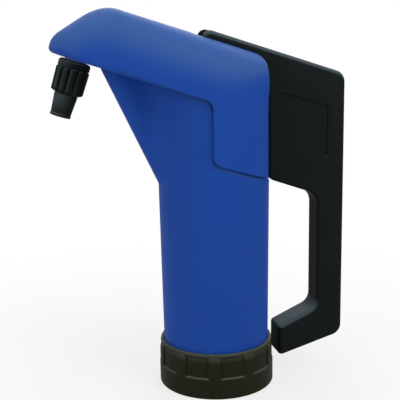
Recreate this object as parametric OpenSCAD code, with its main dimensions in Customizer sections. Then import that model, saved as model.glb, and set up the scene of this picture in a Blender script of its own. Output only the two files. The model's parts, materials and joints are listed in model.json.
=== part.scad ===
/* [Barrel] */
// Outer radius of the barrel where it leaves the collar
barrel_low_r = 44; // [42:0.5:50]
// Growth of the barrel's radius from the collar to the head
barrel_draft = 2; // [1:0.5:4]
// Wall of the barrel where it leaves the collar
barrel_wall = 4; // [3.5:0.25:5]
// Half thickness of the fin between barrel and spout
fin_half = 11; // [9:0.5:14]
// Radius of the outlet duct in the fin
duct_r = 5; // [4:0.5:6]

/* [Head] */
// Height where the hood's lower edge crosses the barrel's axis
head_z = 238; // [232:1:250]
// Tilt of the head, with the spout end up
head_tilt = 18.4; // [16:0.2:20]
// Length of the hood in front of the barrel's axis
hood_reach = 136.3; // [130:0.1:150]
// Height of the hood's roof over its lower edge
hood_h = 46; // [44:0.5:50]
// Half width of the hood towards its nose
nose_half = 30; // [26:1:36]
// Height of the blunt front of the nose
nose_h = 11.5; // [8:0.5:14]
// Step of the hood over the barrel
hood_step = 1.4; // [1:0.2:2.4]
// Distance of the hood's flat back in front of the round of its plan
back_cut = 9.9; // [8:0.1:12]
// Wall of the hood
hood_wall = 3; // [2:0.25:3.5]
// Drop of the rear skirt under the hood's lower edge
skirt_drop = 45.5; // [38:0.5:50]

/* [Collar] */
// Step of the collar nut over the barrel
collar_step = 4.2; // [4:0.2:7]
// Height of the collar nut
collar_h = 38; // [36:0.5:44]
// Number of grip panels round the collar
panel_count = 10; // [6:1:14]
// Minor radius of the two-inch drum thread
drum_thread_r = 28.33; // [26:0.01:30]
// Radius of the socket for the suction tube
suction_r = 16; // [12:0.5:17]

/* [Lever] */
// Thickness of the lever
lever_t = 24; // [20:1:28]
// Clear depth between the barrel's foot and the grip
hand_gap = 43; // [36:1:50]
// Depth of the grip from its inner to its outer face
grip_d = 23; // [20:1:30]
// Height of the lever's top edge over the pivot, along the head's tilt
lever_rise = 26; // [25:0.5:28]
// Chamfer along the lever's edges
lever_chamfer = 3; // [1:0.5:4]
// Distance of the pivot in front of the hood's back
pivot_in = 14.4; // [13.6:0.2:15]
// Height of the pivot over the head's lower edge at the axis
pivot_rise = 16.5; // [15:0.5:19]
// Radius of the pivot pin
pivot_pin_r = 5; // [4:0.25:6]
// Swing of the lever from hanging to level
swing = 80; // [70:1:84]

/* [Pump rod] */
// Radius of the piston rod
rod_r = 4.5; // [3.5:0.25:5]
// Radius of the pin that drives the rod
rod_pin_r = 4; // [3:0.25:4.5]
// Height of the piston
piston_h = 14; // [10:0.5:18]

/* [Nozzle] */
// Distance of the nozzle behind the hood's tip, along the head
nozzle_back = 22.3; // [21:0.1:30]
// Radius of the union nut at its top
nut_r = 13.2; // [11:0.2:14]
// Height of the union nut
nut_h = 26; // [22:0.5:30]
// Radius of the hose tail
tail_r = 8.2; // [7:0.1:9]
// Length of the hose tail under the nut
tail_l = 18; // [14:0.5:24]

/* [Hidden] */
$fn = 64;

// Clearances: parts that turn or slide, seats within one body, running fits
gap = 0.4;
seat = 0.05;
run = 0.06;
// Reach of a cutting solid past the face that it cuts
over = 1;

// Head frame: X runs back along the head, Z rises square to it
ct = cos(head_tilt);
st = sin(head_tilt);
function head_x(x, z) = x * ct - (z - head_z) * st;
function head_up(x, z) = x * st + (z - head_z) * ct;
// Height of a line along the head's tilt at x, through the point [px, pz]
function tilt_line(x, px, pz) = pz - (x - px) * tan(head_tilt);
module in_head() {
    translate([0, 0, head_z]) rotate([0, head_tilt, 0]) children();
}

// Barrel and collar
barrel_high_r = barrel_low_r + barrel_draft;
bore_r = barrel_low_r - barrel_wall;
collar_r = barrel_low_r + collar_step;

// Hood over the barrel
hood_r = barrel_high_r + hood_step;
hood_in_r = hood_r - hood_wall;
hood_back_x = hood_r - back_cut;
spigot_r = hood_in_r - gap;
spigot_rise = 5;
arch_power = 2.6;
nose_slope = 1.15;
nose_blend = 14;
nose_plan = 26;
taper_start = 12;
knee_r = 10;
hood_stations = 28;
hood_arch = 20;
skirt_inset = 0.5;
skirt_r = hood_r - skirt_inset;
skirt_front_x = -hood_r / 4;
skirt_round = 8;
skirt_root = 0.5;

// Lever outline and travel
lever_half = lever_t / 2;
lever_side_gap = 0.6;
slot_half = lever_half + lever_side_gap;
pivot_x = hood_r - pivot_in;
pivot_z = head_z + pivot_rise;
// The rod pin's arc lies evenly about the rod's axis
crank_a = swing / 2;
crank_r = 2 * pivot_x / (1 + cos(crank_a));
rod_pin_x = pivot_x - crank_r * cos(crank_a);
rod_pin_z = pivot_z + crank_r * sin(crank_a);
rise_x = pivot_x + lever_rise * st;
rise_z = pivot_z + lever_rise * ct;
rod_eye = 14;
lever_front_x = rod_pin_x - rod_eye;
slot_room = 9;
slot_front_x = lever_front_x - slot_room;
web_gap = 0.6;
web_lean = 3;
web_x = hood_r + web_gap;
foot_gap = 5;
foot_x = collar_r + foot_gap;
foot_tilt = 15.5;
foot_taper = 8;
grip_in_x = barrel_low_r + hand_gap;
grip_x = grip_in_x + grip_d;
grip_top_drop = 82;
grip_top_z = head_z - grip_top_drop;
grip_low_z = 58;
foot_z = 16;
hub_r = 12;
hub_drop = 4;
fork_drop = 4;
fork_gap = 0.6;
fork_half = 7.1;
fork_r = 21;
bush_t = 2;
bush_apart = 1;
bush_proud = 0.2;
bush_r = pivot_pin_r + bush_t;
label_depth = 0.8;

// Pump rod, gland and piston at rest, with the lever hanging
pin_slack = 1.3;
head_half_t = fork_half - fork_gap;
head_half_x = 14;
head_up_h = 9.5;
head_down_h = 15;
gland_drop = 41;
gland_z = head_z - gland_drop;
gland_t = 6;
gland_boss_r = 14;
gland_boss_h = 12;
seal_r = 9;
seal_floor = 4;
seal_h = 5;
gland_head = 3;
oring_r = 1.5;
groove_r = oring_r + 2 * seat;
valve_room = 15;
piston_top_z = gland_z - gland_boss_h - valve_room;
piston_seal_h = 5;
piston_seal_t = 3.5;
valve_rim = 3;
valve_t = 2.5;
valve_lift = 3;
keeper_t = 2.5;
keeper_rim = 8;
nut_t = 6;
nut_rim = 4;
rod_end = 2;
rod_end_z = piston_top_z - piston_h - nut_t - rod_end;
port_r = 4;
port_ring = 21;
piston_ports = 8;

// Base under the barrel, inside the collar
flange_z = 24;
barrel_z = 32;
collar_wall = 2.2;
collar_in_r = collar_r - collar_wall;
flange_r = collar_in_r - gap;
plug_h = 12;
socket_h = 20;
socket_wall = 4.5;
port_plate = 8;
foot_lift = 4;
foot_t = 3;
stop_rim = 5;
stop_t = 2.5;
gasket_t = 2;
stem_r = 3;

// Outlet duct: a straight run up the fin, parallel to its front edge, which meets the hood behind the nozzle
nozzle_u = hood_reach - nozzle_back;
fin_behind = 19;
fin_u = nozzle_u - fin_behind;
fin_drop = 65.5;
fin_root_z = head_z - fin_drop;
fin_lean = atan2(fin_u * ct - barrel_high_r, fin_u * st + fin_drop);
fin_dir = [-sin(fin_lean), cos(fin_lean)];
fin_in = [cos(fin_lean), sin(fin_lean)];
fin_root = [-barrel_high_r, fin_root_z];
fin_top_v = 4;
fin_wall = 4;
duct_in = duct_r + fin_wall;
duct_root = fin_root + duct_in * fin_in;
// Length along the duct at which it reaches the height v in the head frame
function duct_s(v) = (v - head_up(duct_root[0], duct_root[1])) / (fin_dir[0] * st + fin_dir[1] * ct);
function duct_at(v) = duct_root + duct_s(v) * fin_dir;
duct_top = duct_at(fin_top_v);
fin_run = duct_s(fin_top_v) + hood_r;
duct_flange_t = 3;
pipe_wall = 3;
cross_duct_r = duct_r - 0.3;
tail_bore_r = duct_r + 0.5;
bend_v = 17;
bend_in = duct_at(bend_v);
bend_in_u = -head_x(bend_in[0], bend_in[1]);
stub_wall = 3.5;
stub_r = duct_r + stub_wall;
stub_low_v = -10;
plate_t = 3;
screw_r = 1.6;
screw_head_h = 1.8;
screw_head_r = 2 * screw_r;
screw_grip = 8;

// Smooth minimum of two heights, blended over k
function smin(a, b, k) = let (h = max(k - abs(a - b), 0) / k) min(a, b) - h * h * k / 4;
// Roof of the hood at u in front of the axis: level, then down the nose
function nose_line(u) = nose_h + (hood_reach - u) * nose_slope;
function roof(u, inset) = smin(hood_h, nose_line(u), nose_blend) - inset;
// Half width of the hood at u: round behind the axis, tapered to the nose and rounded in plan there
function taper(u) = hood_r - max(u - taper_start, 0) * (hood_r - nose_half) / (hood_reach - taper_start);
function nose_end(u, reach) = sqrt(max(0.004, 1 - pow(max(0, u - reach + nose_plan) / nose_plan, 2)));
function back_end(u, r) = sqrt(max(0.004, 1 - pow(min(0, u) * ct / r, 2)));
function half_width(u, inset) =
    (taper(u) - inset) * nose_end(u, hood_reach - inset) * back_end(u, hood_r - inset);
function spow(c) = sign(c) * pow(abs(c), 2 / arch_power);
// One arch of the hood, drawn in by inset and carried down by drop
function arch(u, inset, drop) = [for (j = [0 : hood_arch]) let (a = 180 - 180 * j / hood_arch)
    [-u, half_width(u, inset) * spow(cos(a)),
     (roof(u, inset) + drop) * spow(sin(a)) - drop]];
// Faces of a stack of closed rings of m points, whose flat ends are the triangles in ends
function stack_faces(rings, m, ends) = concat(
    ends,
    [for (i = [0 : rings - 2], j = [0 : m - 1]) [i * m + j, (i + 1) * m + j, (i + 1) * m + (j + 1) % m]],
    [for (i = [0 : rings - 2], j = [0 : m - 1]) [i * m + j, (i + 1) * m + (j + 1) % m, i * m + (j + 1) % m]],
    [for (t = ends) [for (j = [2, 1, 0]) t[j] + (rings - 1) * m]]);
function fan(m) = [for (j = [1 : m - 2]) [0, j, j + 1]];
module hood_form(inset, drop) {
    reach = hood_reach - inset;
    back = (hood_r - inset) / ct;
    stations = [for (i = [0 : hood_stations])
        (reach - back) / 2 - (reach + back) / 2 * cos(180 * i / hood_stations)];
    points = [for (u = stations) each arch(u, inset, drop)];
    faces = stack_faces(hood_stations + 1, hood_arch + 1, fan(hood_arch + 1));
    in_head() polyhedron(points, faces, convexity = 6);
}

// Rounded outlines: each corner is [x, z, radius]
arc_steps = 6;
function unit(v) = v / norm(v);
function flat(p) = [p[0], p[1]];
function cross2(a, b) = a[0] * b[1] - a[1] * b[0];
function turn2(v, a) = [v[0] * cos(a) - v[1] * sin(a), v[0] * sin(a) + v[1] * cos(a)];
function prev_of(p, i) = flat(p[(i + len(p) - 1) % len(p)]);
function next_of(p, i) = flat(p[(i + 1) % len(p)]);
function corner_arc(a, p, b, r) =
    let (d1 = unit(a - p), d2 = unit(b - p), half = acos(d1 * d2) / 2,
         c = p + unit(d1 + d2) * r / sin(half), v = p + d1 * r / tan(half) - c,
         way = cross2(d1, d2) > 0 ? -1 : 1)
    [for (k = [0 : arc_steps]) c + turn2(v, way * (180 - 2 * half) * k / arc_steps)];
function rounded(p) = [for (i = [0 : len(p) - 1])
    each corner_arc(prev_of(p, i), flat(p[i]), next_of(p, i), p[i][2])];
// The outline drawn in by d on every side, for an outline that runs clockwise
function inset_corner(a, p, b, d) =
    let (d1 = unit(a - p), d2 = unit(b - p), half = acos(d1 * d2) / 2,
         way = cross2(d1, d2) > 0 ? 1 : -1)
    p + way * unit(d1 + d2) * d / sin(half);
function inset_radius(a, p, b, r, d) = cross2(a - p, b - p) > 0 ? max(r - d, 0.5) : r + d;
function drawn_in(p, d) = [for (i = [0 : len(p) - 1])
    let (a = prev_of(p, i), b = next_of(p, i), q = inset_corner(a, flat(p[i]), b, d))
    [q[0], q[1], inset_radius(a, flat(p[i]), b, p[i][2], d)]];
// Triangles of a clockwise outline, cut off one ear at a time
function area2(a, b, c) = cross2(b - a, c - a);
function holds(p, a, b, c) = area2(a, b, p) < 0 && area2(b, c, p) < 0 && area2(c, a, p) < 0;
function ear(ids, k) = let (n = len(ids)) [ids[(k + n - 1) % n], ids[k], ids[(k + 1) % n]];
function is_ear(p, ids, t) = area2(p[t[0]], p[t[1]], p[t[2]]) < 0
    && len([for (i = ids) if (holds(p[i], p[t[0]], p[t[1]], p[t[2]])) i]) == 0;
function first_ear(p, ids, k = 0) =
    k == len(ids) - 1 || is_ear(p, ids, ear(ids, k)) ? k : first_ear(p, ids, k + 1);
function triangles(p, ids) = len(ids) == 3 ? [ids] : let (k = first_ear(p, ids))
    concat([ear(ids, k)], triangles(p, [for (j = [0 : len(ids) - 1]) if (j != k) ids[j]]));
// Plate in the XZ plane with chamfered edges, from a clockwise outline
module chamfered_plate(outline, half, chamfer) {
    full = rounded(outline);
    small = rounded(drawn_in(outline, chamfer));
    layers = [[small, -half], [full, chamfer - half], [full, half - chamfer], [small, half]];
    points = [for (l = layers, p = l[0]) [p[0], l[1], p[1]]];
    ends = triangles(small, [for (i = [0 : len(small) - 1]) i]);
    polyhedron(points, stack_faces(len(layers), len(full), ends), convexity = 10);
}
// Plain prism across Y from an outline in the XZ plane
module across(half) {
    translate([0, half, 0]) rotate([90, 0, 0]) linear_extrude(2 * half) children();
}
module cross_pin(r, y0, y1) {
    translate([0, y1, 0]) rotate([90, 0, 0]) cylinder(r = r, h = y1 - y0);
}
module ring(r_out, r_in, h) {
    difference() {
        cylinder(r = r_out, h = h);
        translate([0, 0, -over]) cylinder(r = r_in, h = h + 2 * over);
    }
}
module oring(r_mid, r) {
    rotate_extrude() translate([r_mid, 0]) circle(r = r, $fn = 24);
}
// Rod of radius r between two points of the XZ plane
module strut(a, b, r) {
    d = b - a;
    translate([a[0], 0, a[1]]) rotate([0, atan2(d[0], d[1]), 0]) cylinder(r = r, h = norm(d));
}

// Side outline of the hood's lower edge, lifted in front by rise, then down and back along the skirt
skirt_low = head_z - skirt_drop / ct;
far_x = 3 * hood_r;
module hood_edge(rise) {
    edge_z = head_z + rise / ct;
    front = [-far_x, tilt_line(-far_x, 0, edge_z)];
    skirt_top = [skirt_front_x, tilt_line(skirt_front_x, 0, edge_z)];
    skirt_foot = [skirt_front_x, tilt_line(skirt_front_x, 0, skirt_low)];
    back = [far_x, tilt_line(far_x, 0, skirt_low)];
    polygon(concat(corner_arc(front, skirt_top, skirt_foot, skirt_round),
                   corner_arc(skirt_top, skirt_foot, back, skirt_round),
                   [back, [far_x, 2 * head_z], [-far_x, 2 * head_z], front]));
}

// Side outline of the hood drawn in by inset: flat at the back, with a round knee to the roof
module hood_side(inset) {
    x = hood_back_x - inset;
    top_z = head_z + (hood_h - inset + over) / ct;
    front = [-2 * far_x, tilt_line(-2 * far_x, 0, top_z)];
    polygon(concat(corner_arc([x, 0], [x, tilt_line(x, 0, top_z)], front, knee_r - inset),
                   [front, [front[0], 0], [x, 0]]));
}

module barrel_form() {
    draft = barrel_draft / (head_z - collar_h);
    low_r = barrel_low_r - (collar_h - barrel_z) * draft;
    top_z = head_z + hood_r;
    high_r = low_r + (top_z - barrel_z) * draft;
    translate([0, 0, barrel_z]) cylinder(r1 = low_r, r2 = high_r, h = top_z - barrel_z);
}
fin_ease = 0.3;
module fin_form() {
    axis_root = fin_root + fin_half * fin_in;
    axis_top = axis_root + fin_run * fin_dir;
    strut(axis_root, axis_top, fin_half);
    across(fin_half - fin_ease) polygon([axis_root, axis_top, [0, axis_top[1]], [0, axis_root[1]]]);
}
module above_head(v) {
    in_head() translate([-3 * hood_reach, -hood_reach, v])
        cube([6 * hood_reach, 2 * hood_reach, 2 * hood_reach]);
}
module pump_body() color("royalblue") difference() {
    union() {
        difference() {
            barrel_form();
            across(2 * hood_r) hood_edge(0);
        }
        difference() {
            on_axis(fin_root_z - hood_r) cylinder(r = spigot_r, h = head_z);
            above_head(spigot_rise);
            intersection() {
                above_head(-gap);
                translate([hood_back_x - hood_wall - gap, -far_x, 0]) cube([far_x, 2 * far_x, 2 * head_z]);
            }
        }
        difference() {
            fin_form();
            above_head(fin_top_v);
        }
    }
    cylinder(r = bore_r, h = 2 * head_z);
    strut(duct_root, duct_root + fin_run * fin_dir, duct_r);
}

post_r = 4.5;
post_in = 15;
post_front = 22;
post_back = 6.6;
module at_posts() {
    for (u = [hood_r + post_back, hood_reach - post_front], side = [-1, 1])
        translate([-u, side * (half_width(u, 0) - post_in), 0]) children();
}
module head_cover() color("royalblue") difference() {
    intersection() {
        union() {
            difference() {
                hood_form(0, 0);
                intersection() {
                    hood_form(hood_wall, over);
                    across(2 * hood_r) hood_side(hood_wall);
                }
            }
            intersection() {
                hood_form(hood_wall / 2, 0);
                in_head() at_posts() translate([0, 0, plate_t + seat]) cylinder(r = post_r, h = hood_h);
            }
            difference() {
                intersection() {
                    cylinder(r = skirt_r, h = 2 * head_z);
                    across(2 * hood_r) hood_edge(skirt_root);
                    translate([skirt_front_x - skirt_round / 2, -far_x, 0])
                        cube([far_x, 2 * far_x, 2 * head_z]);
                }
                above_head(4 * skirt_root);
                cylinder(r = hood_in_r + skirt_inset, h = 2 * head_z);
            }
        }
        across(2 * hood_r) hood_side(0);
    }
    translate([slot_front_x, -slot_half, 0]) cube([far_x, 2 * slot_half, 2 * head_z]);
    translate([pivot_x - boss_r - gap, -pin_half - gap, 0])
        cube([far_x, 2 * (pin_half + gap), pivot_z + boss_r + gap]);
    in_head() at_posts() translate([0, 0, plate_t]) cylinder(r = screw_r, h = screw_grip + over);
}

// Underside of the spout, closed in front of the barrel and round the fin
module spout_underplate() color("royalblue") difference() {
    intersection() {
        hood_form(hood_wall + gap, 0);
        in_head() translate([-2 * hood_reach, -hood_r, 0]) cube([2 * hood_reach, 2 * hood_r, plate_t]);
    }
    cylinder(r = hood_r, h = 2 * head_z);
    fin_gap = fin_half + gap;
    fin_end = fin_root + fin_run * fin_dir - [gap, 0];
    across(fin_gap) polygon([[0, 0], fin_root - [gap, 0], fin_end, [0, fin_end[1]]]);
    in_head() {
        translate([-nozzle_u, 0, -over]) cylinder(r = stub_r + gap, h = plate_t + 2 * over);
        at_posts() translate([0, 0, -over]) {
            cylinder(r = screw_r + seat, h = plate_t + 2 * over);
            cylinder(r = screw_head_r + seat, h = over + screw_head_h + 2 * seat);
        }
    }
}
module underplate_screws() color("silver") in_head() at_posts() {
    translate([0, 0, seat]) cylinder(r = screw_head_r, h = screw_head_h);
    translate([0, 0, screw_head_h / 2]) cylinder(r = screw_r - seat, h = plate_t + screw_grip);
}

// Elbow that carries the outlet from the fin to the nozzle, with a block at each bend
duct_gasket_t = 1;
gasket_rim = 1;
block_over = 0.5;
bend_rim = 1;
outlet_rim = 2;
duct_seat_v = fin_top_v + duct_gasket_t;
pipe_r = duct_r + pipe_wall;
module bend_block(u, r) {
    translate([-u, 0, bend_v]) cross_pin(r, -pipe_r - block_over, pipe_r + block_over);
}
module spout_duct() color("gray") difference() {
    union() {
        difference() {
            strut(duct_root, bend_in, pipe_r);
            in_head() translate([-hood_reach, -hood_r, duct_seat_v - 2 * hood_reach])
                cube([2 * hood_reach, 2 * hood_r, 2 * hood_reach]);
        }
        in_head() {
            translate([head_x(duct_top[0], duct_top[1]), 0, duct_seat_v])
                cylinder(r = fin_half, h = duct_flange_t);
            bend_block(bend_in_u, pipe_r + bend_rim);
            bend_block(nozzle_u, pipe_r + outlet_rim);
            translate([-nozzle_u, 0, bend_v]) rotate([0, 90, 0]) cylinder(r = pipe_r, h = nozzle_u - bend_in_u);
            translate([-nozzle_u, 0, stub_low_v]) cylinder(r = stub_r, h = bend_v - stub_low_v);
        }
    }
    strut(duct_root, bend_in, duct_r);
    in_head() {
        translate([-nozzle_u, 0, bend_v]) rotate([0, 90, 0])
            cylinder(r = cross_duct_r, h = nozzle_u - bend_in_u + duct_r / 2);
        translate([-nozzle_u, 0, stub_low_v - over]) cylinder(r = duct_r, h = bend_v - stub_low_v + 3 * over);
    }
}
module duct_gasket() color("dimgray") difference() {
    in_head() translate([head_x(duct_top[0], duct_top[1]), 0, fin_top_v])
        cylinder(r = fin_half - gasket_rim, h = duct_gasket_t);
    strut(duct_root, bend_in, duct_r + gasket_rim);
}

// Nozzle: washer, hose tail and the ribbed union nut that holds it
module at_nozzle() {
    in_head() translate([-nozzle_u, 0, 0]) children();
}
washer_t = 1.5;
tail_flange_t = 2.5;
tail_top_v = stub_low_v - washer_t;
nut_gap = 1.2;
nut_top_v = -nut_gap;
nut_low_v = nut_top_v - nut_h;
tail_low_v = nut_low_v - tail_l;
nut_lip = 3;
module nozzle_washer() color("dimgray") at_nozzle()
    translate([0, 0, tail_top_v]) ring(stub_r, tail_bore_r, washer_t);
module nozzle_tail() color("black") at_nozzle() difference() {
    union() {
        translate([0, 0, tail_top_v - tail_flange_t]) cylinder(r = stub_r, h = tail_flange_t);
        translate([0, 0, tail_low_v]) cylinder(r = tail_r - gap, h = tail_top_v - tail_low_v);
        translate([0, 0, tail_low_v]) cylinder(r = tail_r, h = tail_l - gap);
    }
    translate([0, 0, tail_low_v - over]) cylinder(r = tail_bore_r, h = tail_top_v - tail_low_v + 2 * over);
}
nut_ribs = 12;
nut_foot_r = nut_r - 2;
nut_neck_r = nut_r - 0.8;
nut_band_h = 0.3 * nut_h;
rib_r = 1.6;
rib_h = 0.75 * nut_h;
module nozzle_nut() color("black") at_nozzle() difference() {
    union() {
        translate([0, 0, nut_low_v]) cylinder(r1 = nut_foot_r, r2 = nut_neck_r, h = nut_h);
        translate([0, 0, nut_top_v - nut_band_h]) cylinder(r = nut_r, h = nut_band_h);
        for (k = [0 : nut_ribs - 1]) rotate(360 * k / nut_ribs) translate([nut_foot_r, 0, nut_low_v])
            cylinder(r = rib_r, h = rib_h, $fn = 16);
    }
    translate([0, 0, nut_low_v - over]) cylinder(r = tail_r, h = nut_h + 2 * over);
    translate([0, 0, nut_low_v + nut_lip]) cylinder(r = stub_r + gap, h = nut_h);
}

// Lever: one plate from the rod pin over the pivot to the web, the grip and its foot
function top_edge(x) = tilt_line(x, rise_x, rise_z);
function web_edge(x) = grip_top_z + (grip_in_x - x) * tan(head_tilt + web_lean);
function foot_edge(x) = foot_z + (x - foot_x) * tan(foot_tilt);
function foot_top(x) = grip_low_z - (grip_in_x - x) * tan(foot_tilt + foot_taper);
crank_down = [-sin(crank_a), -cos(crank_a)];
pivot_p = [pivot_x, pivot_z];
rod_pin_p = [rod_pin_x, rod_pin_z];
arm_low = pivot_p + hub_r * crank_down;
arm_half = 11;
arm_front = rod_pin_p + arm_half * crank_down;
function corner(p, r) = [p[0], p[1], r];
// Radii of the lever's corners: at the grip outside and inside, along the arm, small ones and the foot's tip
grip_round = 10;
window_round = 10;
arm_round = 6;
edge_round = 3.5;
tip_round = 1.5;
lever_outline = [
    [lever_front_x, top_edge(lever_front_x), arm_round],
    [grip_x, top_edge(grip_x), grip_round],
    [grip_x, foot_edge(grip_x), grip_round],
    [foot_x, foot_edge(foot_x), tip_round],
    [foot_x, foot_top(foot_x), edge_round],
    [grip_in_x, foot_top(grip_in_x), window_round],
    [grip_in_x, web_edge(grip_in_x), window_round],
    [web_x, web_edge(web_x), edge_round],
    [web_x, pivot_z - hub_r - hub_drop, arm_round],
    corner(arm_low, arm_round),
    corner(arm_front, arm_round),
    [lever_front_x, rod_pin_z - fork_drop, edge_round]];
label_in = 7;
label_out = 15;
label_x = [web_x + label_in, grip_x - label_out];
label_top = 31;
label_rise = 43;
label_r = 2;
module label_form() {
    z = top_edge(label_x[0]) - label_top;
    polygon(rounded([[label_x[0], z, label_r],
                     [label_x[1], tilt_line(label_x[1], label_x[0], z), label_r],
                     [label_x[1], tilt_line(label_x[1], label_x[0], z - label_rise), label_r],
                     [label_x[0], z - label_rise, label_r]]));
}
module lever() color("darkslategray") difference() {
    chamfered_plate(lever_outline, lever_half, lever_chamfer);
    translate([rod_pin_x, 0, rod_pin_z]) cross_pin(fork_r, -fork_half, fork_half);
    translate([rod_pin_x, 0, rod_pin_z]) cross_pin(rod_pin_r + seat, -lever_t, lever_t);
    pivot_place() cross_pin(bush_r + seat, -lever_t, lever_t);
    for (side = [-1, 1]) translate([0, side * lever_half, 0]) across(label_depth) label_form();
}
module pivot_place() {
    translate([pivot_x, 0, pivot_z]) children();
}
module pivot_bushes() color("ivory") pivot_place() for (side = [0, 1]) mirror([0, side, 0]) difference() {
    cross_pin(bush_r, bush_apart, lever_half + bush_proud);
    cross_pin(pivot_pin_r + run, 0, lever_t);
}
// Carrier in the top of the barrel, with an ear each side of the lever
carrier_gap = 1;
carrier_z = gland_z + gland_t + carrier_gap;
carrier_h = 14;
carrier_wall = 4;
ear_t = 8;
boss_wall = 4;
boss_r = pivot_pin_r + boss_wall;
clip_t = 1.2;
clip_rim = 2;
clip_end = 1;
module pivot_carrier() color("gray") difference() {
    union() {
        on_axis(carrier_z) ring(bore_r - seat, bore_r - carrier_wall, carrier_h);
        intersection() {
            for (side = [0, 1]) mirror([0, side, 0]) translate([0, slot_half + ear_t / 2, 0]) {
                across(ear_t / 2) polygon([[pivot_x - boss_r, pivot_z], [pivot_x + boss_r, pivot_z],
                                           [pivot_x + boss_r, carrier_z], [pivot_x - 2 * boss_r, carrier_z]]);
                pivot_place() cross_pin(boss_r, -ear_t / 2, ear_t / 2);
            }
            cylinder(r = bore_r - 2 * seat, h = 2 * head_z);
        }
    }
    pivot_place() cross_pin(pivot_pin_r + seat, -hood_r, hood_r);
}
pin_half = slot_half + ear_t + clip_t + clip_end;
module pivot_pin() color("silver") pivot_place() cross_pin(pivot_pin_r, -pin_half, pin_half);
module pin_clips() color("silver") pivot_place() for (side = [0, 1]) mirror([0, side, 0]) difference() {
    cross_pin(pivot_pin_r + clip_rim, slot_half + ear_t + seat, slot_half + ear_t + clip_t);
    cross_pin(pivot_pin_r + seat, 0, hood_r);
}

// Pump rod: slotted head on the rod pin, rod, gland and piston
module on_axis(z) {
    translate([0, 0, z]) children();
}
pin_short = 0.5;
module rod_pin() color("silver") translate([rod_pin_x, 0, rod_pin_z])
    cross_pin(rod_pin_r, pin_short - lever_half, lever_half - pin_short);
shank_step = 0.5;
shank_top = 1;
rod_in = 1.5;
rod_hole = 2;
// Flat outline with round ends, half_x by half_z about the origin
module long_round(half_x, half_z) {
    r = half_z - seat;
    polygon(rounded([[-half_x, half_z, r], [half_x, half_z, r], [half_x, -half_z, r], [-half_x, -half_z, r]]));
}
module rod_head() color("gray") on_axis(rod_pin_z) difference() {
    slot_half_h = rod_pin_r + pin_slack;
    slot_half_x = max(abs(rod_pin_x), crank_r - pivot_x) + slot_half_h + gap;
    union() {
        across(head_half_t) long_round(head_half_x, head_up_h);
        translate([0, 0, -head_down_h])
            cylinder(r = head_half_t - shank_step, h = head_down_h - slot_half_h - shank_top);
    }
    across(lever_t) long_round(slot_half_x, slot_half_h);
    translate([0, 0, -head_down_h - over])
        cylinder(r = rod_r + seat, h = head_down_h - head_up_h + rod_hole + over);
}
module piston_rod() color("silver") on_axis(rod_end_z)
    cylinder(r = rod_r, h = rod_pin_z - head_up_h + rod_in - rod_end_z);
seal_z = gland_z - gland_boss_h + seal_floor;
module gland_plate() color("gray") difference() {
    union() {
        on_axis(gland_z) cylinder(r = bore_r - seat, h = gland_t);
        on_axis(gland_z - gland_boss_h) cylinder(r = gland_boss_r, h = gland_boss_h + over);
    }
    on_axis(gland_z - gland_boss_h - over) cylinder(r = rod_r + gap, h = 3 * gland_boss_h);
    on_axis(seal_z) cylinder(r = seal_r + seat, h = 2 * gland_boss_h);
    on_axis(gland_z + gland_t / 2) oring(bore_r, groove_r);
}
module gland_oring() color("black") intersection() {
    on_axis(gland_z + gland_t / 2) oring(bore_r, oring_r);
    cylinder(r = bore_r - seat, h = 2 * head_z);
}
module rod_seal() color("black") on_axis(seal_z) ring(seal_r, rod_r + run, seal_h);
module gland_nut() color("gray") difference() {
    union() {
        on_axis(seal_z + seal_h + seat) cylinder(r = seal_r, h = gland_boss_h + gland_t - seal_floor - seal_h);
        on_axis(gland_z + gland_t + seat) cylinder(r = seal_r + gland_head, h = gland_head, $fn = 6);
    }
    on_axis(gland_z - gland_boss_h) cylinder(r = rod_r + gap, h = 3 * gland_boss_h);
}
piston_z = piston_top_z - piston_h;
module at_ports(r, n) {
    for (k = [0 : n - 1]) rotate(360 * k / n) translate([r, 0, 0]) children();
}
module piston() color("gray") difference() {
    on_axis(piston_z) cylinder(r = bore_r - gap, h = piston_h);
    on_axis(piston_z + (piston_h - piston_seal_h) / 2) ring(bore_r, bore_r - piston_seal_t, piston_seal_h);
    on_axis(piston_z - over) cylinder(r = rod_r + seat, h = piston_h + 2 * over);
    on_axis(piston_z - over) at_ports(port_ring, piston_ports) cylinder(r = port_r, h = piston_h + 2 * over);
}
module piston_seal() color("black") on_axis(piston_z + (piston_h - piston_seal_h) / 2 + seat)
    ring(bore_r - run, bore_r - piston_seal_t + seat, piston_seal_h - 2 * seat);
module piston_valve() color("black") on_axis(piston_top_z + seat)
    ring(port_ring + port_r + valve_rim, rod_r + gap, valve_t);
module valve_keeper() color("silver") on_axis(piston_top_z + valve_t + valve_lift + gap)
    ring(rod_r + keeper_rim, rod_r + seat, keeper_t);
module rod_nut() color("silver") on_axis(piston_z - nut_t) difference() {
    cylinder(r = rod_r + nut_rim, h = nut_t - seat, $fn = 6);
    translate([0, 0, -over]) cylinder(r = rod_r + seat, h = nut_t + 2 * over);
}

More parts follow.
